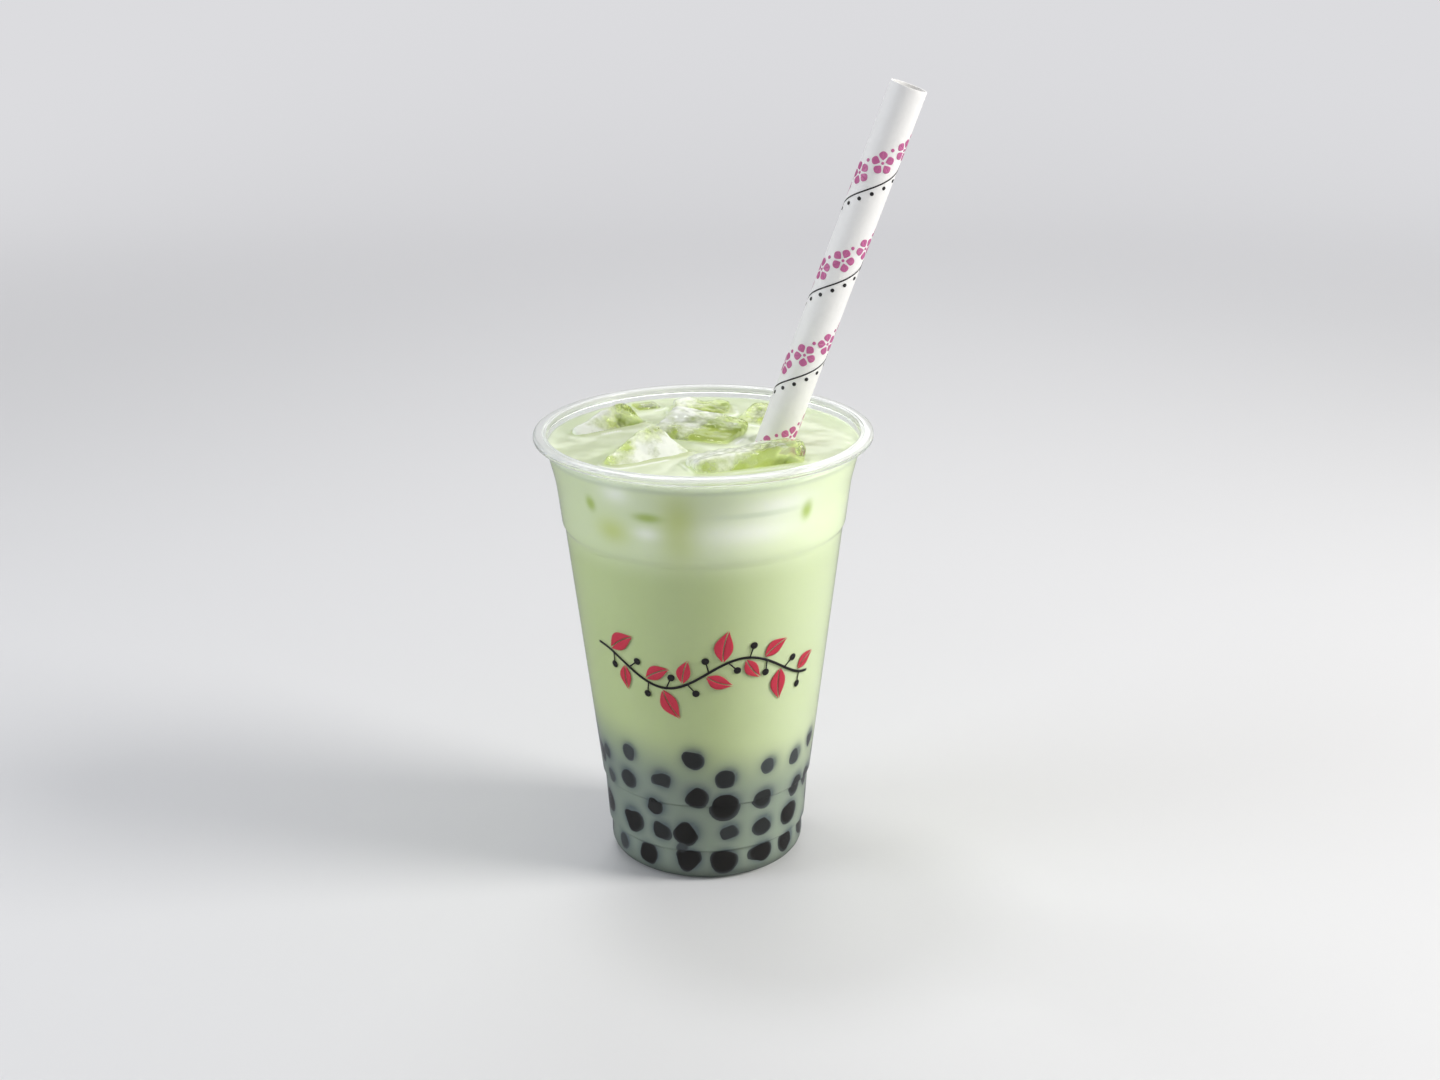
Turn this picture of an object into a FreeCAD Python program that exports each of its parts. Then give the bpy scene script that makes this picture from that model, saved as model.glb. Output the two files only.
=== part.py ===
import FreeCAD, Part
import os
import Sketcher

# Iced matcha milk tea in a clear takeaway cup, with a wide paper straw and ice blocks.
# The cup's axis is Z, and its foot stands on the plane z = 0. The straw leans towards +X.
# Millimetres and degrees. Every size is a cell of the sheet "Sizes", and the pieces read it there.

SIZES = {
    # cup: one thin wall, stepped where cups stack, with a rolled bead round its mouth
    "cupHeight": 127.3,
    "rimRadius": 47.5,
    "beadHeight": 2.9,
    "beadRound": 1.3,
    "lipRound": 0.8,
    "beadOverhang": 3.06,
    "wall": 0.6,
    "shoulderDrop": 13.5,
    "shoulderFlare": 2.91,
    "shoulderRound": 40.0,
    "bandDrop": 26.4,
    "bandTaper": 1.5,
    "bandStep": 0.71,
    "ledge": 0.7,
    "lowStepHeight": 25.1,
    "lowStep": 0.61,
    "lowTaper": 0.97,
    "footStepHeight": 10.15,
    "footStep": 0.76,
    "footRadius": 28.05,
    "footRound": 4.6,
    "standWidth": 3.0,
    "recessHeight": 2.0,
    "recessSlope": 2.0,
    # drink: fills the cup to this far below the mouth
    "fillDrop": 4.2,
    # straw: a paper tube whose foot stands over the cup's floor, against the wall
    "strawRadius": 5.18,
    "strawWall": 0.5,
    "strawLength": 228.0,
    "strawFootLift": 4.5,
    "strawGap": 0.05,
    # what lies in the surface is laid out for a surface of this radius, and spreads with the cup
    "planRadius": 43.5,
    "strawCrossing": 19.8,
    # ice: blocks wider at the top, with melted edges, clear of the wall
    "iceNarrowing": 0.72,
    "iceRound": 2.6,
    "chipRound": 1.6,
    "iceGap": 0.3,
}

# Each block: the place of its middle (x, y), its middle's height over the surface, its size along,
# across and deep, then its turn about Z, the tip of its long axis and its roll about that axis.
ICE_FIELDS = ("X", "Y", "Lift", "Along", "Across", "Deep", "Turn", "Tip", "Roll")
ICE = {
    "ice_back_left": (-27.3, 15.4, -5.2, 23.0, 16.5, 13.5, 47.0, -11.0, 37.0),
    "ice_front_left": (-16.8, -12.4, -5.6, 24.0, 18.0, 17.0, 52.0, -15.0, 35.0),
    "ice_middle": (-1.0, 9.3, -4.8, 25.0, 19.5, 17.0, -22.0, 6.0, 9.0),
    "ice_front_right": (12.2, -20.0, -3.6, 33.5, 14.5, 16.0, 20.0, -4.0, -8.0),
    "ice_back": (-1.2, 32.0, -4.6, 19.0, 11.0, 14.0, 4.0, 6.0, 8.0),
    "ice_behind_straw": (18.5, 22.5, -4.8, 15.0, 12.0, 15.0, -30.0, 5.0, 14.0),
    "ice_chip": (-17.0, 35.0, -1.6, 8.0, 6.5, 6.0, 25.0, 0.0, 0.0),
}

LEVEL = "Sizes.cupHeight - Sizes.fillDrop"
NECK_RADIUS = "Sizes.rimRadius - Sizes.beadOverhang"
NECK_HEIGHT = "Sizes.cupHeight - Sizes.beadHeight"
SHOULDER_HEIGHT = "Sizes.cupHeight - Sizes.shoulderDrop"
# the flare from shoulder to neck that the surface has reached, from 0 to 1
FLARED = f"(({LEVEL}) - ({SHOULDER_HEIGHT})) / (({NECK_HEIGHT}) - ({SHOULDER_HEIGHT}))"
SURFACE_RADIUS = f"{NECK_RADIUS} - Sizes.wall - Sizes.shoulderFlare * (1 - {FLARED})"
SPREAD = f"({SURFACE_RADIUS}) / Sizes.planRadius"


def iceCell(block, field):
    """The alias of one value of one block, such as iceBackLeftTurn."""
    words = block.split("_")
    return words[0] + "".join(word.capitalize() for word in words[1:]) + field


def fillSheet(doc):
    """Writes every driving size into its own cell, with the size's name as the alias."""
    sheet = doc.addObject("Spreadsheet::Sheet", "Sizes")
    cells = dict(SIZES)
    for block, values in ICE.items():
        cells.update({iceCell(block, field): value for field, value in zip(ICE_FIELDS, values)})
    for row, (name, value) in enumerate(cells.items(), start=1):
        sheet.set(f"A{row}", name)
        sheet.set(f"B{row}", str(value))
        sheet.setAlias(f"B{row}", name)
    doc.recompute()


def number(doc, formula):
    """The value that a formula has now, as a plain number."""
    value = doc.Sizes.evalExpression(formula)
    return float(getattr(value, "Value", value))


def newSketch(body, name, role):
    """An empty sketch on one of the body's own origin planes."""
    sketch = body.newObject("Sketcher::SketchObject", name)
    plane = next(feature for feature in body.Origin.OriginFeatures if feature.Role == role)
    sketch.AttachmentSupport = (plane, [""])
    sketch.MapMode = "FlatFace"
    sketch.Visibility = False
    return sketch


def wallLine(inset):
    """Corners (radius, height) of the cup's wall from foot to neck, each a formula, at one inset.

    The wall widens in straight tapers, and steps out by a short slanted ledge between them.
    """
    foot = "Sizes.footRadius"
    lowFoot = foot + " + Sizes.footStep"
    lowUpper = lowFoot + " + Sizes.lowTaper"
    shoulder = NECK_RADIUS + " - Sizes.shoulderFlare"
    band = shoulder + " - Sizes.bandTaper"
    bandHeight = "Sizes.cupHeight - Sizes.bandDrop"
    half = "Sizes.ledge / 2"
    corners = [
        (foot, f"Sizes.footStepHeight - {half}"),
        (lowFoot, f"Sizes.footStepHeight + {half}"),
        (lowUpper, f"Sizes.lowStepHeight - {half}"),
        (lowUpper + " + Sizes.lowStep", f"Sizes.lowStepHeight + {half}"),
        (band + " - Sizes.bandStep", f"{bandHeight} - {half}"),
        (band, f"{bandHeight} + {half}"),
        (shoulder, SHOULDER_HEIGHT),
        (NECK_RADIUS, NECK_HEIGHT),
    ]
    return [(f"{radius} - {inset}", height) for radius, height in corners]


def floorLine(rise):
    """Corners of the foot's underside from the axis outwards, moved in by one thickness."""
    stand = "Sizes.footRadius - Sizes.footRound - Sizes.standWidth"
    return [
        ("0", f"Sizes.recessHeight + {rise}"),
        (f"{stand} - Sizes.recessSlope", f"Sizes.recessHeight + {rise}"),
        (stand, rise),
        (f"Sizes.footRadius - {rise}", rise),
    ]


def ringEdge(shape, radius, height):
    """The name of the round edge about Z at this radius and height."""
    for index, edge in enumerate(shape.Edges, start=1):
        curve = edge.Curve
        if not isinstance(curve, Part.Circle):
            continue
        if abs(curve.Radius - radius) < 1e-3 and abs(curve.Center.z - height) < 1e-3:
            return f"Edge{index}"
    raise ValueError(f"no ring at radius {radius:.2f}, height {height:.2f}")


def turnedSolid(doc, label, corners, rounds):
    """A body turned about Z from a closed outline of (radius, height) formulas.

    rounds lists (corner, fillet radius): the corner's ring is rounded by that much.
    """
    body = doc.addObject("PartDesign::Body", label)
    sketch = newSketch(body, label + "Outline", "XZ_Plane")
    places = [(number(doc, radius), number(doc, height)) for radius, height in corners]
    count = len(places)
    for index in range(count):
        start = FreeCAD.Vector(*places[index], 0)
        end = FreeCAD.Vector(*places[(index + 1) % count], 0)
        sketch.addGeometry(Part.LineSegment(start, end), False)
    for index in range(count):
        following = (index + 1) % count
        sketch.addConstraint(Sketcher.Constraint("Coincident", index, 2, following, 1))
    for index, corner in enumerate(corners):
        for kind, formula, place in zip(("DistanceX", "DistanceY"), corner, places[index]):
            row = sketch.addConstraint(Sketcher.Constraint(kind, -1, 1, index, 1, place))
            sketch.setExpression(f"Constraints[{row}]", formula)
    turn = body.newObject("PartDesign::Revolution", label + "Turn")
    turn.Profile = sketch
    turn.ReferenceAxis = (sketch, ["V_Axis"])
    turn.Angle = 360
    doc.recompute()
    last = turn
    for index, ((radius, height), size) in enumerate(rounds):
        fillet = body.newObject("PartDesign::Fillet", f"{label}Round{index}")
        ring = ringEdge(last.Shape, number(doc, radius), number(doc, height))
        fillet.Base = (last, [ring])
        fillet.setExpression("Radius", size)
        doc.recompute()
        last = fillet
    return body


def makeCup(doc):
    """The cup: up the wall's outer line, round the bead, and back down the inner line."""
    outside = wallLine("0")
    inside = wallLine("Sizes.wall")
    underside = floorLine("0")
    floor = floorLine("Sizes.wall")
    beadFoot = ("Sizes.rimRadius", NECK_HEIGHT)
    beadTop = ("Sizes.rimRadius", "Sizes.cupHeight")
    lip = (inside[-1][0], "Sizes.cupHeight")
    bead = "min(Sizes.beadRound; 0.48 * Sizes.beadHeight)"
    rounds = [
        (beadFoot, bead),
        (beadTop, bead),
        (lip, "Sizes.lipRound"),
        (outside[-2], "Sizes.shoulderRound"),
        (inside[-2], "Sizes.shoulderRound"),
        (underside[-1], "Sizes.footRound"),
        (floor[-1], "Sizes.footRound - Sizes.wall"),
    ]
    outline = underside + outside + [beadFoot, beadTop, lip] + inside[::-1] + floor[::-1]
    return turnedSolid(doc, "cup", outline, rounds)


def makeInside(doc, label, inset, tops):
    """The space inside the cup's wall at one inset, closed over the shoulder by these corners."""
    line = wallLine(inset)
    floor = floorLine(inset)
    rounds = [
        (line[-2], "Sizes.shoulderRound"),
        (floor[-1], f"Sizes.footRound - {inset}"),
    ]
    return turnedSolid(doc, label, floor + line[:-1] + tops, rounds)


def makeStraw(doc):
    """The straw: a tube padded along its own axis, its foot at the wall, leaning towards +X.

    Its lean takes it from the foot to the place where it crosses the surface.
    """
    body = doc.addObject("PartDesign::Body", "straw")
    sketch = newSketch(body, "strawRing", "XY_Plane")
    for index, size in enumerate(("Sizes.strawRadius", "Sizes.strawRadius - Sizes.strawWall")):
        radius = number(doc, size)
        circle = Part.Circle(FreeCAD.Vector(0, 0, 0), FreeCAD.Vector(0, 0, 1), radius)
        sketch.addGeometry(circle, False)
        sketch.addConstraint(Sketcher.Constraint("Coincident", index, 3, -1, 1))
        row = sketch.addConstraint(Sketcher.Constraint("Radius", index, radius))
        sketch.setExpression(f"Constraints[{row}]", size)
    pad = body.newObject("PartDesign::Pad", "strawTube")
    pad.Profile = sketch
    pad.setExpression("Length", "Sizes.strawLength")
    footX = "(Sizes.strawRadius + Sizes.strawGap + Sizes.wall - Sizes.footRadius)"
    footZ = "(Sizes.recessHeight + Sizes.wall + Sizes.strawFootLift)"
    lean = f"atan((Sizes.strawCrossing * {SPREAD} - {footX}) / ({LEVEL} - {footZ}))"
    foot = f"create(<<vector>>; {footX}; 0; {footZ})"
    turn = f"create(<<rotation>>; create(<<vector>>; 0; 1; 0); {lean})"
    body.setExpression("Placement", f"create(<<placement>>; {foot}; {turn})")
    return body


def makeIce(doc, block, bed):
    """One melted block: a wedge wider at its top, all edges rounded, tilted in the surface.

    What would reach past the bed, the space that the wall leaves, has melted away.
    """
    def cell(field):
        return "Sizes." + iceCell(block, field)

    body = doc.addObject("PartDesign::Body", block + "_whole")
    wedge = body.newObject("PartDesign::AdditiveWedge", block + "_wedge")
    for axis, field in (("X", "Along"), ("Z", "Across")):
        half = f"{cell(field)} * {SPREAD} / 2"
        wedge.setExpression(axis + "min", f"-{half} * Sizes.iceNarrowing")
        wedge.setExpression(axis + "max", f"{half} * Sizes.iceNarrowing")
        wedge.setExpression(axis + "2min", f"-{half}")
        wedge.setExpression(axis + "2max", half)
    wedge.setExpression("Ymin", f"-{cell('Deep')} / 2")
    wedge.setExpression("Ymax", f"{cell('Deep')} / 2")
    melt = body.newObject("PartDesign::Fillet", block + "_melt")
    melt.Base = (wedge, [""])
    melt.UseAllEdges = True
    melt.setExpression("Radius", "Sizes.chipRound" if block == "ice_chip" else "Sizes.iceRound")
    middle = f"{cell('X')} * {SPREAD}; {cell('Y')} * {SPREAD}; {LEVEL} + {cell('Lift')}"
    turn = f"{cell('Turn')}; {cell('Tip')}; 90 + {cell('Roll')}"
    body.setExpression(
        "Placement",
        f"create(<<placement>>; create(<<vector>>; {middle}); create(<<rotation>>; {turn}))",
    )
    ice = doc.addObject("Part::Common", block)
    ice.Base = body
    ice.Tool = bed
    return ice


def makeDrink(doc, fill, sunk):
    """The drink: the cup's inside up to the level, cut round the straw and every ice block."""
    pieces = doc.addObject("Part::Compound", "sunkPieces")
    pieces.Links = sunk
    drink = doc.addObject("Part::Cut", "drink")
    drink.Base = fill
    drink.Tool = pieces
    return drink


def check(doc, parts):
    """Stops if any object failed, or a part is empty, broken or in more than one piece."""
    for item in doc.Objects:
        if "Invalid" in item.State or "Error" in item.State:
            raise RuntimeError(f"{item.Name} failed: {item.State}")
    for part in parts:
        if part.Shape.isNull() or not part.Shape.isValid():
            raise RuntimeError(f"{part.Label} has no valid shape")
        if len(part.Shape.Solids) != 1:
            raise RuntimeError(f"{part.Label} is {len(part.Shape.Solids)} solids")


def main():
    doc = FreeCAD.newDocument("MatchaTea")
    fillSheet(doc)
    cup = makeCup(doc)
    straw = makeStraw(doc)
    fill = makeInside(doc, "fill", "Sizes.wall", [(SURFACE_RADIUS, LEVEL), ("0", LEVEL)])
    bedInset = "(Sizes.wall + Sizes.iceGap)"
    bedRadius = f"{NECK_RADIUS} - {bedInset}"
    bedTop = "Sizes.cupHeight + Sizes.fillDrop * 2"
    bed = makeInside(doc, "bed", bedInset, [(bedRadius, NECK_HEIGHT), (bedRadius, bedTop), ("0", bedTop)])
    blocks = [makeIce(doc, block, bed) for block in ICE]
    drink = makeDrink(doc, fill, [straw] + blocks)
    doc.recompute()
    parts = [cup, drink, straw] + blocks
    check(doc, parts)
    os.makedirs("parts", exist_ok=True)
    for part in parts:
        part.Shape.exportStep(os.path.join("parts", part.Label + ".step"))
        print(f"{part.Label}: {part.Shape.Volume / 1000:.3f} cm3")


main()
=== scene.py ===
import math

import bpy
import numpy as np
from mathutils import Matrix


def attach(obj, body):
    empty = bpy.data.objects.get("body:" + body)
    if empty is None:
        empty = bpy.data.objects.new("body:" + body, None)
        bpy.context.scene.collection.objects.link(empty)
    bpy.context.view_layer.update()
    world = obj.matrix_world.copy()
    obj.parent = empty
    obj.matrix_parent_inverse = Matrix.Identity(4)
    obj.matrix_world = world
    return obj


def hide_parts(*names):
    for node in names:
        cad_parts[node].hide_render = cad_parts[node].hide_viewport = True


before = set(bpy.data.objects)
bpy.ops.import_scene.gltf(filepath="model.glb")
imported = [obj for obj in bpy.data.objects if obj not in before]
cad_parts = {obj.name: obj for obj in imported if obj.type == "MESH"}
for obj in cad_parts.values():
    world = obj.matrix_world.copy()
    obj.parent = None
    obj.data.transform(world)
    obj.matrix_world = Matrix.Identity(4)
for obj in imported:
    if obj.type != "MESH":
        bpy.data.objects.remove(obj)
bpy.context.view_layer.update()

# Iced matcha milk tea in a clear takeaway cup. Sizes are in millimetres, and meshes are put in metres.
# The cup stands on z = 0 with its axis on Z. The straw leans towards +X, and the front is -Y.
mm = 0.001
scene = bpy.context.scene


# sRGB hex to linear light: c / 12.92 when dark, else ((c + 0.055) / 1.055) ^ 2.4
def linear(colour):
    parts = np.array([int(colour[i:i + 2], 16) for i in (1, 3, 5)]) / 255
    return (*np.where(parts <= 0.04045, parts / 12.92, ((parts + 0.055) / 1.055) ** 2.4), 1)


# 0 under low, 1 over high, and 3t^2 - 2t^3 between
def smooth(value, low, high):
    t = np.clip((value - low) / (high - low), 0, 1)
    return t * t * (3 - 2 * t)


# a sum of sines in random directions, one wavelength long, from about -1 to 1
def ripple(points, wavelength, seed, waves=9):
    random = np.random.default_rng(seed)
    ways = random.normal(size=(waves, points.shape[-1]))
    ways *= 2 * math.pi / wavelength / np.linalg.norm(ways, axis=1, keepdims=True)
    phases = random.uniform(0, 2 * math.pi, waves)
    return np.sin(points @ ways.T + phases).sum(-1) / math.sqrt(waves)


# quads between the neighbours of a grid of points; either direction may close on itself
def gridFaces(rows, columns, closeRows=False, closeColumns=True, first=0):
    r = np.arange(rows if closeRows else rows - 1)[:, None]
    c = np.arange(columns if closeColumns else columns - 1)
    r2, c2 = (r + 1) % rows, (c + 1) % columns
    quads = np.stack([r * columns + c, r * columns + c2, r2 * columns + c2, r2 * columns + c], -1)
    return quads.reshape(-1, 4) + first


# triangles from one pole point to the ring of points that starts at first
def poleFaces(pole, first, columns, flip=False):
    c = np.arange(columns)
    fan = np.stack([np.full(columns, pole), first + (c + 1) % columns, first + c], -1)
    return fan[:, ::-1] if flip else fan


# the faces of a closed surface: a grid of rings, and a fan to a pole at each end
def poledFaces(rows, columns, first=0):
    last = first + rows * columns
    return [
        gridFaces(rows, columns, first=first),
        poleFaces(last, first, columns),
        poleFaces(last + 1, last - columns, columns, flip=True),
    ]


# so many even steps round a circle
def circle(steps):
    return np.linspace(0, 2 * math.pi, steps, endpoint=False)


# points on circles about Z: every radius at every turn, at its height
def around(radius, turn, height):
    return np.stack(np.broadcast_arrays(radius * np.cos(turn), radius * np.sin(turn), height), -1)


# a new object that the scene shows
def addObject(name, data):
    thing = bpy.data.objects.new(name, data)
    scene.collection.objects.link(thing)
    return thing


# a smooth mesh of points in millimetres
def makeMesh(name, points, faces, material):
    mesh = bpy.data.meshes.new(name)
    mesh.from_pydata((points.reshape(-1, 3) * mm).tolist(), [], [f for part in faces for f in part.tolist()])
    mesh.shade_smooth()
    mesh.materials.append(material)
    return mesh


# puts a piece at the origin, with values per point under each label, riding on the part's body
def putPiece(name, points, faces, material, replaced=None, values=None):
    mesh = makeMesh(name, points, faces, material)
    for label, value in (values or {}).items():
        store = mesh.attributes.new(label, "FLOAT", "POINT").data
        store.foreach_set("value", value.ravel().astype(np.float32))
    mesh.update()
    piece = addObject(name, mesh)
    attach(piece, "root")
    if replaced:
        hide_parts(replaced)
    print(name, len(mesh.vertices), "points")
    return piece


# a material with no nodes yet
def newMaterial(name):
    material = bpy.data.materials.new(name)
    material.use_nodes = True
    material.node_tree.nodes.clear()
    return material


# adds a node with its settings, and links or fills its inputs by name or number, colours as hex
def addNode(material, kind, inputs=None, **settings):
    tree = material.node_tree
    node = tree.nodes.new("ShaderNode" + kind)
    for setting, value in settings.items():
        setattr(node, setting, value)
    for key, value in (inputs or {}).items():
        if isinstance(value, bpy.types.NodeSocket):
            tree.links.new(value, node.inputs[key])
        else:
            node.inputs[key].default_value = linear(value) if isinstance(value, str) else value
    return node


# a noise over the piece's own place, its cells of one size in millimetres
def noise(material, size, detail, **inputs):
    inputs["Vector"] = addNode(material, "TexCoord").outputs["Object"]
    inputs.update(Scale=1 / (size * mm), Detail=detail)
    return addNode(material, "TexNoise", inputs).outputs["Fac"]


# one colour passing into another by a share
def mixColours(material, share, first, second, way="MIX"):
    inputs = {"Factor": share, "A": first, "B": second}
    return addNode(material, "Mix", inputs, data_type="RGBA", blend_type=way).outputs["Result"]


# the values that putPiece stored in a piece under one label
def stored(material, label):
    return addNode(material, "Attribute", attribute_name=label).outputs["Fac"]


# a product, sum, larger or difference of two values
def compute(material, way, first, second, clamp=False):
    inputs = {0: first, 1: second}
    return addNode(material, "Math", inputs, operation=way, use_clamp=clamp).outputs[0]


# a value carried from one span to another
def mapSpan(material, value, low, high, start=0.0, end=1.0, way="LINEAR"):
    inputs = {"Value": value, "From Min": low, "From Max": high, "To Min": start, "To Max": end}
    return addNode(material, "MapRange", inputs, interpolation_type=way).outputs["Result"]


# one shader passing into another by a share
def mixShaders(material, share, first, second):
    return addNode(material, "MixShader", {0: share, 1: first.outputs[0], 2: second.outputs[0]})


# makes a shader the material's surface
def finishMaterial(material, shader):
    addNode(material, "OutputMaterial", {"Surface": shader.outputs[0]})
    return material


cup = {
    "height": 127.3, "rimRadius": 47.5, "beadHeight": 2.05, "beadRound": 0.94, "lipRound": 0.35,
    "beadOverhang": 3.06, "wall": 0.6, "shoulderDrop": 13.5, "shoulderFlare": 2.91,
    "shoulderRound": 40.0, "bandDrop": 26.4, "bandTaper": 1.5, "bandStep": 0.71, "ledge": 0.7,
    "ledgeRound": 0.3, "lowStepHeight": 25.1, "lowStep": 0.61, "lowTaper": 0.97,
    "footStepHeight": 10.15, "footStep": 0.76, "footRadius": 28.05, "footRound": 4.6,
    "standWidth": 3.0, "recessHeight": 2.0, "recessSlope": 2.0, "floorRound": 0.8,
    "bandLedge": 1.4, "bandRound": 1.6, "neckRound": 0.3, "grooveAt": 44.7, "grooveHalf": 0.3,
    "grooveDeep": 0.45, "grooveRounds": (0.15, 0.12, 0.15), "around": 360, "longest": 5.0,
    # how white the bead is outside and inside, and over which spans that comes in
    "beadHaze": 0.62, "beadFade": (0.9, -0.3),
    "insideHaze": 0.25, "insideFade": (0.6, -0.2), "insideRise": (-1.0, 0.4),
    "colour": "#fafcfa",
}
drink = {
    # the skin: its level, how far it reaches into the wall, and its rows and columns of points
    "level": 123.1, "grip": 0.25, "ledgeStretch": 2.3, "around": 384, "rowStep": 1.1, "topRings": 84,
    "topGap": 0.8, "floorRadius": 22.0, "floorSkip": 5, "standRadius": 23.4,
    # how high the milk climbs at the wall, the ice and the straw, and its reach there
    "wallClimb": 1.0, "wallReach": 2.0, "iceClimb": 0.65, "iceReach": 1.1,
    "strawClimb": 0.5, "strawReach": 1.1,
    # its waves (height, length, seed), and those that break the wet lines (length, seed)
    "waves": ((0.035, 11.0, 3), (0.012, 4.5, 4)), "breaks": (13.0, 21),
    # the pit that each block stands in, probed step by step, and how soon milk hides ice
    "pitDepth": 3.2, "pitStep": 0.35, "pitMargin": 0.91, "pitSoft": 0.12, "coverFade": 1.1, "probe": 0.2,
    # the bright wet line before each block: its distance, half width and height
    "lineOff": 1.3, "lineHalf": 0.35, "lineRise": 0.18,
}
neckRadius = cup["rimRadius"] - cup["beadOverhang"]
neckHeight = cup["height"] - cup["beadHeight"]


# corners (radius, height) of the wall from foot to neck: straight tapers with short ledges between,
# the band's ledge stretched so many times along the height
def wallCorners(inset, stretch=1.0):
    foot = cup["footRadius"]
    low = foot + cup["footStep"] + cup["lowTaper"]
    shoulder = neckRadius - cup["shoulderFlare"]
    band = shoulder - cup["bandTaper"]
    bandHeight = cup["height"] - cup["bandDrop"]
    half, bandHalf = cup["ledge"] / 2, cup["bandLedge"] / 2 * stretch
    corners = [
        (foot, cup["footStepHeight"] - half), (foot + cup["footStep"], cup["footStepHeight"] + half),
        (low, cup["lowStepHeight"] - half), (low + cup["lowStep"], cup["lowStepHeight"] + half),
        (band - cup["bandStep"], bandHeight - bandHalf), (band, bandHeight + bandHalf),
        (shoulder, cup["height"] - cup["shoulderDrop"]), (neckRadius, neckHeight),
    ]
    return [(radius - inset, height) for radius, height in corners]


# corners of the foot's underside from the axis outwards, moved in by one thickness
def floorCorners(rise):
    foot, recess = cup["footRadius"], cup["recessHeight"] + rise
    stand = foot - cup["footRound"] - cup["standWidth"]
    return [(0, recess), (stand - cup["recessSlope"], recess), (stand, rise), (foot - rise, rise)]


# corners turned into arcs, each starting and ending radius / tan(half the corner's angle) away,
# then cut so that no run is longer than the longest
def roundedLine(corners, rounds, longest, arcSteps=6):
    corners = [np.array(corner, float) for corner in corners]
    line = [corners[0]]
    for before, corner, after, radius in zip(corners, corners[1:], corners[2:], rounds):
        back = (before - corner) / np.linalg.norm(before - corner)
        ahead = (after - corner) / np.linalg.norm(after - corner)
        half = math.acos(np.clip(back @ ahead, -1, 1)) / 2
        middle = corner + (back + ahead) / np.linalg.norm(back + ahead) * radius / math.sin(half)
        start = corner + back * radius / math.tan(half) - middle
        end = corner + ahead * radius / math.tan(half) - middle
        first = math.atan2(start[1], start[0])
        sweep = (math.atan2(end[1], end[0]) - first + math.pi) % (2 * math.pi) - math.pi
        steps = max(arcSteps, int(abs(sweep) * radius / longest) + 1)
        turn = first + sweep * np.linspace(0, 1, steps + 1)
        line.extend(middle + radius * np.stack([np.cos(turn), np.sin(turn)], 1))
    line.append(corners[-1])
    cut = [line[0]]
    for a, b in zip(line, line[1:]):
        count = max(1, math.ceil(np.linalg.norm(b - a) / longest))
        cut.extend(a + (b - a) * k / count for k in range(1, count + 1))
    return np.array(cut)


# the rounds of the wall's corners, foot to shoulder
def wallRounds():
    return [cup["ledgeRound"]] * 4 + [cup["bandRound"]] * 2 + [cup["shoulderRound"]]


# the drink's line at one inset from the cup's outside, from the axis over the floor to the neck;
# milk blurs the band's ledge, so here it is longer, and stays within the wall's thickness
def insideLine(inset, longest):
    corners = floorCorners(inset) + wallCorners(inset, drink["ledgeStretch"])
    rounds = [cup["floorRound"]] * 2 + [cup["footRound"] - inset] + wallRounds()
    return roundedLine(corners, rounds, longest)


skinInset = cup["wall"] - drink["grip"]
skinLine = insideLine(skinInset, drink["rowStep"])


# radius of the drink's skin at a height, from its line; the foot's round is part of it
def skinRadius(height):
    outer = skinLine[skinLine[:, 0] > drink["standRadius"]]
    outer = outer[np.argsort(outer[:, 1], kind="stable")]
    return np.interp(height, outer[:, 1], outer[:, 0])


# radius of the cup's outside at a height
def outsideRadius(height):
    return skinRadius(height) + skinInset


view = {"place": (4.45, -587.05, 301.36), "pitch": 70.56, "roll": -0.416, "lens": 54.75, "sensor": 36}
light = {
    # the world's colour and strength, and its strength for these rays where that is more
    "worldColour": "#f6f7f8", "world": 0.35,
    "rays": {"Is Camera Ray": 0.77, "Is Transmission Ray": 0.95, "Is Glossy Ray": 0.35},
    # each lamp's place, width, watts and colour; all look at one height on the axis
    "lamps": {
        "key": ((880, -190, 631), 420, 8.0, "#fffdf8"),
        "left": ((-832, -223, 401), 520, 2.7, "#f4f8ff"),
        "back": ((60, 720, 560), 460, 1.0, "#ffffff"),
        "top": ((-140, 230, 760), 180, 1.0, "#ffffff"),
    },
    "aimHeight": 70,
}


# turns a thing so that its -Z looks at a point: yaw from the ground track, pitch from the rise
def aim(thing, target):
    way = np.array(target, float) - np.array(thing.location)
    pitch = math.atan2(math.hypot(way[0], way[1]), -way[2])
    thing.rotation_euler = (pitch, 0, math.atan2(way[1], way[0]) - math.pi / 2)


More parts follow.
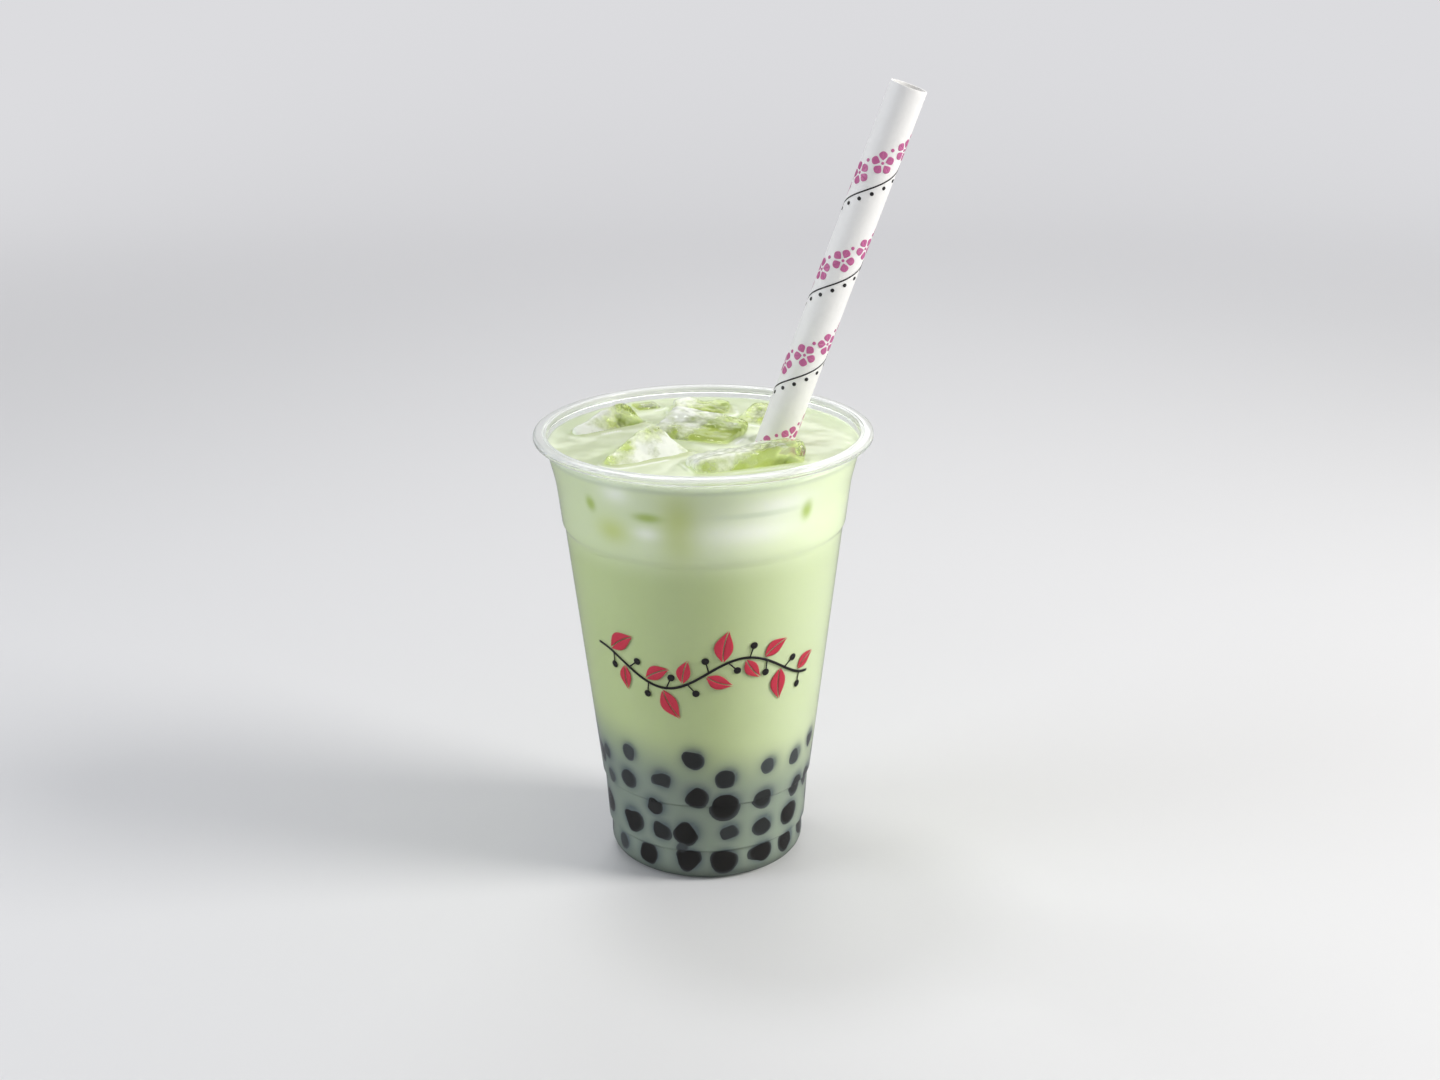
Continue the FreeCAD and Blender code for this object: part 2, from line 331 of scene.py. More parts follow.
# the camera, its rotation as a quaternion of pitch about X and roll about its own axis; lamps and world
def setStage():
    cameraData = bpy.data.cameras.new("camera")
    cameraData.lens = view["lens"]
    cameraData.sensor_width = view["sensor"]
    cameraData.clip_start = 10 * mm
    camera = addObject("camera", cameraData)
    camera.location = [v * mm for v in view["place"]]
    camera.rotation_mode = "QUATERNION"
    pitch, roll = math.radians(view["pitch"]) / 2, math.radians(view["roll"]) / 2
    camera.rotation_quaternion = (
        math.cos(pitch) * math.cos(roll), math.sin(pitch) * math.cos(roll),
        -math.sin(pitch) * math.sin(roll), math.cos(pitch) * math.sin(roll))
    scene.camera = camera
    for name, (place, size, power, colour) in light["lamps"].items():
        lamp = bpy.data.lights.new(name, "AREA")
        lamp.shape = "DISK"
        lamp.size = size * mm
        lamp.energy = power
        lamp.color = linear(colour)[:3]
        thing = addObject(name, lamp)
        thing.location = [v * mm for v in place]
        aim(thing, (0, 0, light["aimHeight"] * mm))
    world = bpy.data.worlds.new("studio")
    world.use_nodes = True
    scene.world = world
    path = addNode(world, "LightPath").outputs
    strength = light["world"]
    for ray, share in light["rays"].items():
        strength = compute(world, "MAXIMUM", compute(world, "MULTIPLY", path[ray], share), strength)
    background = world.node_tree.nodes["Background"]
    background.inputs["Color"].default_value = linear(light["worldColour"])
    world.node_tree.links.new(strength, background.inputs["Strength"])
    scene.view_settings.view_transform = "Standard"


sheet = {
    "colour": "#e6e6e8", "far": "#dcdcdf", "mirrored": "#8e8e92",
    # the mottle: the size of its cells across the sheet, and how much it darkens and lightens
    "mottle": 533, "mottleShare": 0.015,
    # how far off the far colour starts, and is full
    "fade": (250, 1300),
    "front": -1500, "bendFrom": 900, "bend": 500, "top": 2600, "halfWidth": 2400, "bendRows": 24,
}


# Uncoated studio paper: even and matt. Far off it glows in one colour for the camera, and in
# reflections, though not through the wall, it is darker, so that the clear wall keeps its contrast.
def backdropPaper():
    paper = newMaterial("paperBackdropMatt")
    cells = 2 * sheet["halfWidth"] / sheet["mottle"]
    mottle = addNode(paper, "TexNoise", {"Scale": cells, "Detail": 3.0}).outputs["Fac"]
    tone = mapSpan(paper, mottle, 0.0, 1.0, 1 - sheet["mottleShare"], 1 + sheet["mottleShare"])
    shader = addNode(paper, "BsdfPrincipled", {
        "Base Color": mixColours(paper, 1.0, sheet["colour"], tone, "MULTIPLY"),
        "Roughness": 0.85, "Specular IOR Level": 0.2})
    glow = addNode(paper, "Emission", {"Color": sheet["far"], "Strength": 1.0})
    dull = addNode(paper, "BsdfDiffuse", {"Color": sheet["mirrored"]})
    place = addNode(paper, "TexCoord").outputs["Object"]
    away = addNode(paper, "VectorMath", {0: place}, operation="LENGTH").outputs["Value"]
    far = mapSpan(paper, away, *(v * mm for v in sheet["fade"]), way="SMOOTHSTEP")
    path = addNode(paper, "LightPath").outputs
    shader = mixShaders(paper, compute(paper, "MULTIPLY", far, path["Is Camera Ray"]), shader, glow)
    mirrored = compute(paper, "SUBTRACT", path["Is Glossy Ray"], path["Is Transmission Ray"], clamp=True)
    return finishMaterial(paper, mixShaders(paper, mirrored, shader, dull))


# floor and backdrop in one sheet: flat up to the bend, a quarter turn, then upright
def makeFloor():
    turn = np.linspace(0, math.pi / 2, sheet["bendRows"])[1:]
    bend, start = sheet["bend"], sheet["bendFrom"]
    flat = np.linspace(sheet["front"], start, 12)
    depth = np.concatenate([flat, start + bend * np.sin(turn), [start + bend]])
    rise = np.concatenate([0 * flat, bend * (1 - np.cos(turn)), [sheet["top"]]])
    across = np.linspace(-sheet["halfWidth"], sheet["halfWidth"], 9)
    grid = np.stack(np.broadcast_arrays(across[None, :], depth[:, None], rise[:, None]), -1)
    faces = [gridFaces(len(depth), len(across), closeColumns=False)]
    addObject("floor", makeMesh("floor", grid, faces, backdropPaper()))


setStage()
makeFloor()
print("stage set")


# Thermoformed clear PET: thin and glassy with a sharp gloss, whitish at the bead, and light passes it.
def clearPlastic():
    plastic = newMaterial("petThermoformedClear")
    clear = compute(plastic, "SUBTRACT", 1.0, stored(plastic, "haze"))
    shader = addNode(plastic, "BsdfPrincipled", {
        "Base Color": cup["colour"], "Roughness": 0.04, "IOR": 1.49, "Transmission Weight": clear})
    through = addNode(plastic, "BsdfTransparent", {"Color": cup["colour"]})
    shadowRay = addNode(plastic, "LightPath").outputs["Is Shadow Ray"]
    return finishMaterial(plastic, mixShaders(plastic, shadowRay, shader, through))


# one outline (radius, height) turned about Z: up the outside, over the grooved bead, down the inside
def makeCup():
    top, at, half = cup["height"], cup["grooveAt"], cup["grooveHalf"]
    bead = [(cup["rimRadius"], neckHeight), (cup["rimRadius"], top), (at + half, top),
            (at, top - cup["grooveDeep"]), (at - half, top), (neckRadius - cup["wall"], top)]
    corners = (floorCorners(0) + wallCorners(0) + bead
               + wallCorners(cup["wall"])[::-1] + floorCorners(cup["wall"])[::-1])
    floorRounds = [cup["floorRound"]] * 2
    up = floorRounds + [cup["footRound"]] + wallRounds() + [cup["neckRound"]]
    over = [cup["beadRound"]] * 2 + [*cup["grooveRounds"], cup["lipRound"]]
    down = [cup["neckRound"]] + wallRounds()[::-1] + [cup["footRound"] - cup["wall"]] + floorRounds
    outline = roundedLine(corners, up + over + down, cup["longest"])
    ring = outline[1:-1]
    turn = circle(cup["around"])
    grid = around(ring[:, :1], turn, ring[:, 1:])
    poles = np.array([[0, 0, outline[0, 1]], [0, 0, outline[-1, 1]]])
    points = np.concatenate([grid.reshape(-1, 3), poles])
    beadFrom, beadTo = cup["beadFade"]
    outside = smooth(points[:, 2], neckHeight + beadFrom, cup["height"] + beadTo)
    out = np.hypot(points[:, 0], points[:, 1])
    inside = cup["insideHaze"] * smooth(out, *(neckRadius + v for v in cup["insideFade"]))
    inside = inside * smooth(points[:, 2], *(neckHeight + v for v in cup["insideRise"]))
    haze = cup["beadHaze"] * np.maximum(outside, inside)
    faces = poledFaces(len(ring), len(turn))
    putPiece("cupShell", points, faces, clearPlastic(), "cup", {"haze": haze})


makeCup()


ice = {
    # each block's node, its middle (x, y, height over the level), its size along, across and deep,
    # its turn, tip and roll, the side that frost whitens (x, y, z), how much, and its seed
    "iceBackLeft": ("ice_back_left", (-27.3, 15.4, -5.2), (23.0, 16.5, 13.5),
        (47.0, -11.0, 37.0), (-0.7, -0.5, 0.5), 0.95, 11),
    "iceFrontLeft": ("ice_front_left", (-16.8, -12.4, -5.6), (24.0, 18.0, 17.0),
        (52.0, -15.0, 35.0), (0.6, -0.6, 0.5), 0.95, 12),
    "iceMiddle": ("ice_middle", (-1.0, 9.3, -4.8), (25.0, 19.5, 17.0),
        (-22.0, 6.0, 9.0), (-0.6, 0.5, 0.6), 0.85, 13),
    "iceFrontRight": ("ice_front_right", (12.2, -20.0, -3.6), (33.5, 14.5, 16.0),
        (20.0, -4.0, -8.0), (-0.75, 0.1, 0.65), 0.85, 14),
    "iceBack": ("ice_back", (-1.2, 32.0, -4.6), (19.0, 11.0, 14.0),
        (4.0, 6.0, 8.0), (-0.8, 0.2, 0.5), 0.8, 15),
    "iceBehindStraw": ("ice_behind_straw", (18.5, 22.5, -4.8), (15.0, 12.0, 15.0),
        (-30.0, 5.0, 14.0), (-0.4, -0.5, 0.7), 0.5, 16),
    "iceChip": ("ice_chip", (-17.0, 35.0, -1.6), (8.0, 6.5, 6.0),
        (25.0, 0.0, 0.0), (0.5, 0.2, 0.8), 0.4, 17),
}
iceShape = {
    "spread": 43.48 / 43.5, "narrow": 0.72, "power": 8.0, "around": 200, "rings": 100,
    # ripples: the slow melt and the small pits (height, length), weaker on blocks smaller than fullFrom
    "melt": 0.45, "meltWave": 8.0, "pit": 0.13, "pitWave": 2.3, "fullFrom": 12, "melted": 0.7, "sunk": 0.1,
    # the wall's inside by height, and the gap that blocks keep to it
    "wallHeights": (100, 101.5, 113.8, 124.4, 130), "wallRadii": (38.7, 39.4, 40.9, 43.8, 43.8), "gap": 0.35,
}
frostShine = {
    # on the frosted side: strength, wave (height, length), where it starts and is full, what is taken off
    "share": 1.1, "wave": (0.2, 7.0), "over": (-0.25, 0.95), "less": 0.15,
    # the painted highlight on the edges: strength, what counts as edge, and the wave that breaks it
    "edge": 0.4, "edgeOver": (0.84, 0.95), "breaks": 5.0, "breaksOver": (-0.5, 0.6),
    # the sizes of dimples and cracks, and the colours of frost, clear ice and its shadow
    "dimples": 4.17, "dimpleDepth": 0.6, "cracks": 2.38,
    "white": "#f8fbf5", "clear": "#eaeed3", "shadow": "#e6edcf",
}


# draws points in to a radius about the axis where they pass it
def capRadius(points, limit):
    out = np.hypot(points[..., 0], points[..., 1])
    points[..., :2] *= np.minimum(1, limit / np.maximum(out, 1e-6))[..., None]


# directions over a ball: rings from below upwards, then the two poles
def ballWays(rings, columns):
    turn = circle(columns)
    lift = np.linspace(-math.pi / 2, math.pi / 2, rings + 2)[1:-1, None]
    ways = around(np.cos(lift), turn, np.sin(lift)).reshape(-1, 3)
    return np.concatenate([ways, [[0, 0, -1], [0, 0, 1]]])


# the block's axes (along, across, up) as columns: turn about Z, then tip about Y, then roll about X
def iceAxes(turns):
    axes = np.eye(3)
    for angle, (a, b) in zip(np.radians(turns), ((0, 1), (2, 0), (1, 2))):
        turned = np.eye(3)
        turned[[a, b], [a, b]] = math.cos(angle)
        turned[a, b], turned[b, a] = -math.sin(angle), math.sin(angle)
        axes = axes @ turned
    return axes


# a block's middle over the origin
def iceMiddle(block):
    x, y, lift = block[1]
    return np.array([x * iceShape["spread"], y * iceShape["spread"], drink["level"] + lift])


# a block's half sizes along, across and deep
def iceHalf(block):
    return np.array(block[2]) * [iceShape["spread"], iceShape["spread"], 1] / 2


# how far a block narrows, from its narrow share at the bottom (up = -1) to 1 at the top
def iceNarrow(up):
    return iceShape["narrow"] + (1 - iceShape["narrow"]) * (up + 1) / 2


# how far out of a block points are: the p-norm of (along, across, up) over the half sizes,
# which narrow towards the bottom; 1 on its skin
def iceReach(points, block):
    local = (points - iceMiddle(block)) @ iceAxes(block[3])
    half = iceHalf(block)
    up = local[..., 2] / half[2]
    narrow = iceNarrow(np.clip(up, -1, 1))
    shares = np.abs(np.stack([local[..., 0] / half[0] / narrow, local[..., 1] / half[1] / narrow, up], -1))
    return (shares ** iceShape["power"]).sum(-1) ** (1 / iceShape["power"])


# Melting ice: clear and glassy with soft dimples, greened by the drink in it, and white where air and
# frost lie under the skin, and along its edges, where the white is a painted highlight. Light passes it,
# greened.
def clearIce():
    material = newMaterial("iceMelting")
    dimples = noise(material, frostShine["dimples"], 2.0, Roughness=0.5)
    dents = addNode(material, "Bump", {
        "Height": dimples, "Strength": 0.3, "Distance": frostShine["dimpleDepth"] * mm})
    cracks = noise(material, frostShine["cracks"], 3.0, Roughness=0.6)
    amount = compute(material, "ADD", cracks, stored(material, "frostShine"))
    clear = mapSpan(material, amount, 0.58, 1.35, 1.0, 0.08)
    tint = mixColours(material, clear, frostShine["white"], frostShine["clear"])
    body = addNode(material, "BsdfPrincipled", {
        "Base Color": tint, "Roughness": 0.06, "IOR": 1.31, "Transmission Weight": clear,
        "Normal": dents.outputs["Normal"]})
    through = addNode(material, "BsdfTransparent", {"Color": frostShine["shadow"]})
    shadowRay = addNode(material, "LightPath").outputs["Is Shadow Ray"]
    return finishMaterial(material, mixShaders(material, shadowRay, body, through))


# each direction goes out to the p-norm block, which narrows downwards;
# melting lowers the skin by two ripples, and the wall's gap caps the radius; frost whitens one side,
# and a painted highlight whitens the edges, where the second largest of the three shares nears 1
def makeIce():
    material = clearIce()
    ways = ballWays(iceShape["rings"], iceShape["around"])
    power = iceShape["power"]
    ball = ways / (np.abs(ways) ** power).sum(-1, keepdims=True) ** (1 / power)
    edgeShine = smooth(np.sort(np.abs(ball), axis=1)[:, 1], *frostShine["edgeOver"])
    faces = poledFaces(iceShape["rings"], iceShape["around"])
    for name, block in ice.items():
        node, _, size, turns, frostSide, amount, seed = block
        narrow = iceNarrow(ball[:, 2:])
        local = ball * iceHalf(block) * np.concatenate([narrow, narrow, np.ones_like(narrow)], 1)
        small = min(1, min(size) / iceShape["fullFrom"])
        melt = (iceShape["melt"] * ripple(local, iceShape["meltWave"], seed)
                + iceShape["pit"] * ripple(local, iceShape["pitWave"], seed + 40)) * small
        local -= ways * (iceShape["melted"] * melt + iceShape["sunk"])[:, None]
        points = iceMiddle(block) + local @ iceAxes(turns).T
        inner = np.interp(points[:, 2], iceShape["wallHeights"], iceShape["wallRadii"])
        capRadius(points, inner - iceShape["gap"])
        outward = ways @ iceAxes(turns).T @ (np.array(frostSide) / np.linalg.norm(frostSide))
        waveHeight, waveLength = frostShine["wave"]
        outward = outward + waveHeight * ripple(points, waveLength, seed + 80)
        whiter = frostShine["share"] * amount * smooth(outward, *frostShine["over"]) - frostShine["less"]
        broken = smooth(ripple(points, frostShine["breaks"], seed + 120), *frostShine["breaksOver"])
        whiter += frostShine["edge"] * edgeShine * broken
        putPiece(name, points, faces, material, node, {"frostShine": whiter})


makeIce()


pearl = {
    # height, then (angle from the front towards +X, height offset, width of the patch on the wall)
    "rows": (
        (7.0, ((-59, 0, 5.0), (-37, -0.3, 6.6), (-11, 0.2, 7.4),
               (10, -0.4, 7.6), (33.5, 0.4, 7.0), (55, 0.6, 6.5))),
        (16.0, ((-47, 0.4, 8.0), (-27, -0.4, 6.1), (-11.5, 0, 7.2),
                (12.5, 0.2, 5.4), (33, 0.3, 6.0), (54, 0.8, 7.0))),
        (25.0, ((-30, -1.8, 6.3), (-5.3, 3.2, 6.5), (10, 0, 8.4), (32.5, 0.5, 6.0), (58, 0.3, 6.0))),
        (32.0, ((-62.7, -4.5, 4.0), (-46, -1.8, 5.6), (-24, 0.8, 5.7), (10.5, 2.0, 5.9))),
        (38.0, ((-65, -3, 4.6), (-43, 1.2, 4.8), (-7, 2.4, 6.1), (34, -2, 4.4), (53.5, -2.4, 4.8))),
    ),
    "extra": ((-14, 11.2, 3.0),),
    # the rest of each row: where it starts, its step, from which height rows hold a smaller share, how far
    # rows are turned; how far chance moves a pearl round and up, and its smallest and largest patch
    "backFrom": 72, "backStep": 23.5, "highRows": (30, 0.75), "rowShift": 4.5,
    "turnBy": 4.5, "liftBy": 1.2, "patches": (4.8, 7.2),
    # a patch's radius over its ball's, the ripple (height, length), and the reach into the wall
    "shrink": 0.8, "ripple": (0.05, 1.5), "proud": 0.1,
    # the flattening planes: how many, how far off in radii, how sharp; and how the ball swells to match
    "planes": 10, "planeOff": (0.74, 1.0), "sharp": 14, "swell": 1.07, "lowest": 0.8,
    # milk veils small patches (from this width down, full so much lower) and the edges
    "veilWidth": (6.6, 2.4), "veilShare": 0.55, "veilEdge": (0.78, 0.5), "edgeShare": 0.5, "veilMost": 0.8,
    # how far their shade reaches on the milk, and the size of the clouds in their colour
    "halo": 1.15, "cloud": 3.33, "around": 44, "rings": 28, "seed": 5,
    "dark": "#0e0c0b", "brown": "#1b1816", "veiled": "#62696c",
}


# every pearl as (angle, height, patch width): the front's listed, the rest of each row by chance
def pearlPlaces():
    random = np.random.default_rng(pearl["seed"])
    places = [(angle, height, width) for angle, height, width in pearl["extra"]]
    high, fewer = pearl["highRows"]
    start, end = pearl["backFrom"] + 5, 355 - pearl["backFrom"]
    for level, (height, row) in enumerate(pearl["rows"]):
        places += [(angle, height + up, width) for angle, up, width in row]
        count = int((360 - 2 * pearl["backFrom"]) / pearl["backStep"] * (1 if height < high else fewer))
        angles = np.linspace(start, end, count) + random.uniform(-pearl["turnBy"], pearl["turnBy"], count)
        angles += pearl["rowShift"] * (level % 2 * 2 - 1)
        ups = random.uniform(-pearl["liftBy"], pearl["liftBy"], count)
        widths = random.uniform(*pearl["patches"], count)
        places += list(zip(angles, height + ups, widths))
    return np.array(places)


pearlSpots = pearlPlaces()


# Cooked tapioca in brown sugar: near black, dense and dull, greyed where a film of milk veils it.
def cookedTapioca():
    material = newMaterial("tapiocaCooked")
    cloud = noise(material, pearl["cloud"], 2.0)
    inner = mixColours(material, cloud, pearl["dark"], pearl["brown"])
    colour = mixColours(material, stored(material, "veil"), inner, pearl["veiled"])
    shader = addNode(material, "BsdfPrincipled", {
        "Base Color": colour, "Roughness": 0.5, "Specular IOR Level": 0.15})
    return finishMaterial(material, shader)


# balls sunk in the drink, pressed flat where they would pass the wall, and by soft planes all round:
# radius = swell * (1 + sum of (cosine to the plane / its distance)^sharp)^(-1 / sharp), and a ripple;
# the smaller a pearl's patch on the wall, and the nearer its edge, the more milk veils it
def makePearls():
    ways = ballWays(pearl["rings"], pearl["around"])
    angle = np.radians(pearlSpots[:, 0])
    radius = pearlSpots[:, 2] / 2 / pearl["shrink"]
    sunk = skinRadius(pearlSpots[:, 1]) - radius * math.sqrt(1 - pearl["shrink"] ** 2)
    middle = np.stack([sunk * np.sin(angle), -sunk * np.cos(angle), pearlSpots[:, 1]], 1)
    random = np.random.default_rng(pearl["seed"] + 1)
    normals = random.normal(size=(len(middle), pearl["planes"], 3))
    distance = random.uniform(*pearl["planeOff"], (*normals.shape[:2], 1))
    normals /= np.linalg.norm(normals, axis=-1, keepdims=True) * distance
    press = np.maximum(np.einsum("wd,nkd->nwk", ways, normals), 0)
    shape = pearl["swell"] * (1 + (press ** pearl["sharp"]).sum(-1)) ** (-1 / pearl["sharp"])
    uneven, length = pearl["ripple"]
    shape += uneven * np.stack([ripple(ways, length, 300 + k) for k in range(len(middle))])
    points = middle[:, None] + radius[:, None, None] * ways * shape[..., None]
    outward = ways @ np.stack([np.sin(angle), -np.cos(angle), 0 * angle])
    widest, below = pearl["veilWidth"]
    veil = np.clip((widest - pearlSpots[:, 2]) / below, 0, 1)[:, None] * pearl["veilShare"]
    veil = veil + pearl["edgeShare"] * smooth(outward.T, *pearl["veilEdge"])
    veil = np.clip(veil, 0, pearl["veilMost"])
    capRadius(points, skinRadius(points[..., 2]) + pearl["proud"])
    points[..., 2] = np.maximum(points[..., 2], pearl["lowest"])
    firsts = [k * len(ways) for k in range(len(middle))]
    faces = [part for first in firsts for part in poledFaces(pearl["rings"], pearl["around"], first=first)]
    putPiece("tapiocaPearls", points, faces, cookedTapioca(), None, {"veil": veil})


makePearls()


wallLook = {
    # patches of colour under the rim: how sharply they end, their strength, and their places
    # (angle, height, half width, half height)
    "green": (3, 0.9, (
        (-46.5, 115.1, 1.9, 2.2), (-21, 114.1, 4.2, 1.4), (42.2, 113.5, 1.9, 2.7), (98, 114, 2.6, 1.6),
        (146, 112.5, 1.8, 2.4), (-95, 113.4, 3.4, 1.5), (-150, 114.6, 2.0, 2.0))),
    "white": (2, 0.85, (
        (-33, 120, 4.6, 2.8), (-22, 109.3, 3.8, 1.9), (19, 109.8, 15, 3.6), (30, 117, 11, 3.4),
        (92, 109.5, 9, 3.2), (158, 111, 8, 3.5), (-110, 110, 8, 3.2), (-165, 109, 6, 3))),
    "olive": (2, 0.85, (
        (-9, 112.0, 5.2, 10.0), (-37, 108.6, 5.2, 3.6), (120, 112, 3.4, 7), (-130, 110, 4, 8))),
    "streak": (2.5, 0.7, ((22, 114.9, 12.5, 0.7),)),
}
shade = {
    # the darker milk among the pearls, partly the pearls seen through it and partly painted shade low down:
    # heights, their tilt to the right, strength and how much less it is on the lit right; and the painted
    # shade at the foot
    "low": (48, 28), "lowTilt": 5, "lowShare": 0.9, "lowLess": 0.08, "foot": (9, 1.5), "footShare": 0.6,
    # the pale band: heights, the angle where it is strongest, mean strength and swing
    "band": (93.5, 105.5), "bandAt": 20, "bandShare": 0.5, "bandSwing": 0.4,
    # painted light on the right side: its angle and strength
    "brightAt": 95, "brightShare": 0.6,
    # the painted grey shade at the collar, where the surface meets the wall under the bead, and its reach
    # inwards
    "collarShade": (121.2, 122.8), "collarReach": 1.4, "collarShare": 0.8,
    # a pearl's shade lies to its right and over it, starts inside its patch, and spares the floor
    "haloTurn": 0.8, "haloUp": 0.35, "haloFrom": 0.46, "haloShare": 0.8, "haloFloor": 20, "deep": (0.2, 2.6),
}
milk = {"pale": "#cbd7a7", "dull": "#c4d19d", "swirl": 22.2}
# the shades laid over the milk one after the other, each where its label says: painted light on the top and
# the right side, painted shade at the foot, the collar and in the pits under ice, partly painted shade low
# down, and a painted highlight along the wet lines
milkShades = {
    "top": "#d5dfbd", "paintedLightRight": "#dee5d2", "band": "#e6eed2", "low": "#909c92", "olive": "#ccd78a",
    "white": "#f8fbf2", "green": "#b2c66c", "streak": "#d2dcc6", "collarShade": "#ccd4c2", "foot": "#666f68",
    "halo": "#55616b", "under": "#c0ca9a", "deep": "#b3be72", "shine": "#f4f8ee",
}
straw = {
    "radius": 5.18, "wall": 0.5, "length": 228.0, "foot": (-22.22, 0, 7.1), "lean": 19.91, "around": 128,
    "longest": 1.6, "edge": 0.2,
    # the spiral seam: depth, pitch, and its fade in turns; then the size of fibres and the nap's height
    "seam": 0.07, "seamPitch": 62.0, "seamFade": 1 / 14, "fibre": 1.11, "nap": 0.2,
    "white": "#fefdfc", "shaded": "#f8f7f6",
}


# how near the wall is to a list of soft spots: the sum of e^-(distance in half sizes)^power
def spots(angle, height, radius, places, power):
    total = 0
    for middle, up, wide, tall in places:
        across = (angle - middle + 180) % 360 - 180
        away = np.hypot(np.radians(across) * radius / wide, (height - up) / tall)
        total = total + np.exp(-away ** power)
    return np.clip(total, 0, 1)


# Matcha in milk: opaque, pale green, smooth and wet, softened by light that enters it; bluer where pearls
# shade it, whiter or greener in patches under the rim, and deep green under ice. Painted light pales its top
# and right side; painted shade darkens it low down, at the foot, at the collar and in the pits under ice; a
# painted highlight lies along the wet lines.
def matchaMilk():
    material = newMaterial("matchaMilkTea")
    swirl = noise(material, milk["swirl"], 4.0, Distortion=0.6)
    colour = mixColours(material, swirl, milk["dull"], milk["pale"])
    for label, tone in milkShades.items():
        colour = mixColours(material, stored(material, label), colour, tone)
    shader = addNode(material, "BsdfPrincipled", {
        "Base Color": colour, "Roughness": 0.14, "IOR": 1.35, "Subsurface Weight": 0.3,
        "Subsurface Radius": (1.0, 1.0, 0.7), "Subsurface Scale": 2 * mm})
    return finishMaterial(material, shader)


# distance outside the straw's tube where it crosses the surface: an ellipse stretched by its lean
def strawDistance(x, y):
    lean = math.radians(straw["lean"])
    crossing = straw["foot"][0] + math.tan(lean) * (drink["level"] - straw["foot"][2])
    across = np.hypot((x - crossing) * math.cos(lean), y)
    return across - straw["radius"]


# the surface over the level: it climbs by climb * e^(-distance / reach) at wall, straw and ice,
# carries slight waves, and drops inside each block as deep as the block reaches;
# also how deep it drops, how near ice lies under it: e^(-milk over the ice / its fade),
# and a bright wet line before each block: e^(-((distance - its place) / its half width)^2)
def surfaceHeight(x, y, edge):
    flat = np.stack([x, y, np.full_like(x, drink["level"])], -1)
    height = drink["wallClimb"] * np.exp(-np.maximum(edge - np.hypot(x, y), 0) / drink["wallReach"])
    for tall, length, seed in drink["waves"]:
        height = height + tall * ripple(flat[..., :2], length, seed)
    away = strawDistance(x, y)
    height = height + drink["strawClimb"] * np.exp(-np.maximum(away, 0) / drink["strawReach"]) * (away > -0.3)
    deep, under, shine = np.zeros_like(x), np.zeros_like(x), np.zeros_like(x)
    streaky = smooth(ripple(flat[..., :2], *drink["breaks"]), -0.5, 0.6)
    step, probe = drink["pitStep"], drink["probe"]
    for block in ice.values():
        reach = iceReach(flat, block)
        nudge = [iceReach(flat + np.array(way), block) - reach for way in ((probe, 0, 0), (0, probe, 0))]
        slope = np.hypot(*nudge) / probe + 1e-4
        off = (reach - 1) / slope
        line = np.exp(-((off - drink["lineOff"]) / drink["lineHalf"]) ** 2) * streaky
        climb = drink["iceClimb"] * np.exp(-np.maximum(off, 0) / drink["iceReach"])
        height = height + climb + drink["lineRise"] * line
        before = smooth(iceMiddle(block)[1] - y, -0.1 * block[2][1], 0.3 * block[2][1])
        shine = np.maximum(shine, line * before)
        open, own, over, cover = np.ones_like(x), np.zeros_like(x), np.ones_like(x), np.zeros_like(x)
        for k in range(int(drink["pitDepth"] / step)):
            there = iceReach(flat - [0, 0, k * step], block)
            open = open * smooth(drink["pitMargin"] - there, 0, drink["pitSoft"])
            over = over * smooth(there, 0.97, 1.05)
            own, cover = own + open * step, cover + over * step
        deep = np.maximum(deep, own)
        under = np.maximum(under, np.exp(-cover / drink["coverFade"]))
    return height - deep - drink["iceClimb"] * smooth(deep, 0, 1), deep, under, shine * (deep < 0.1)


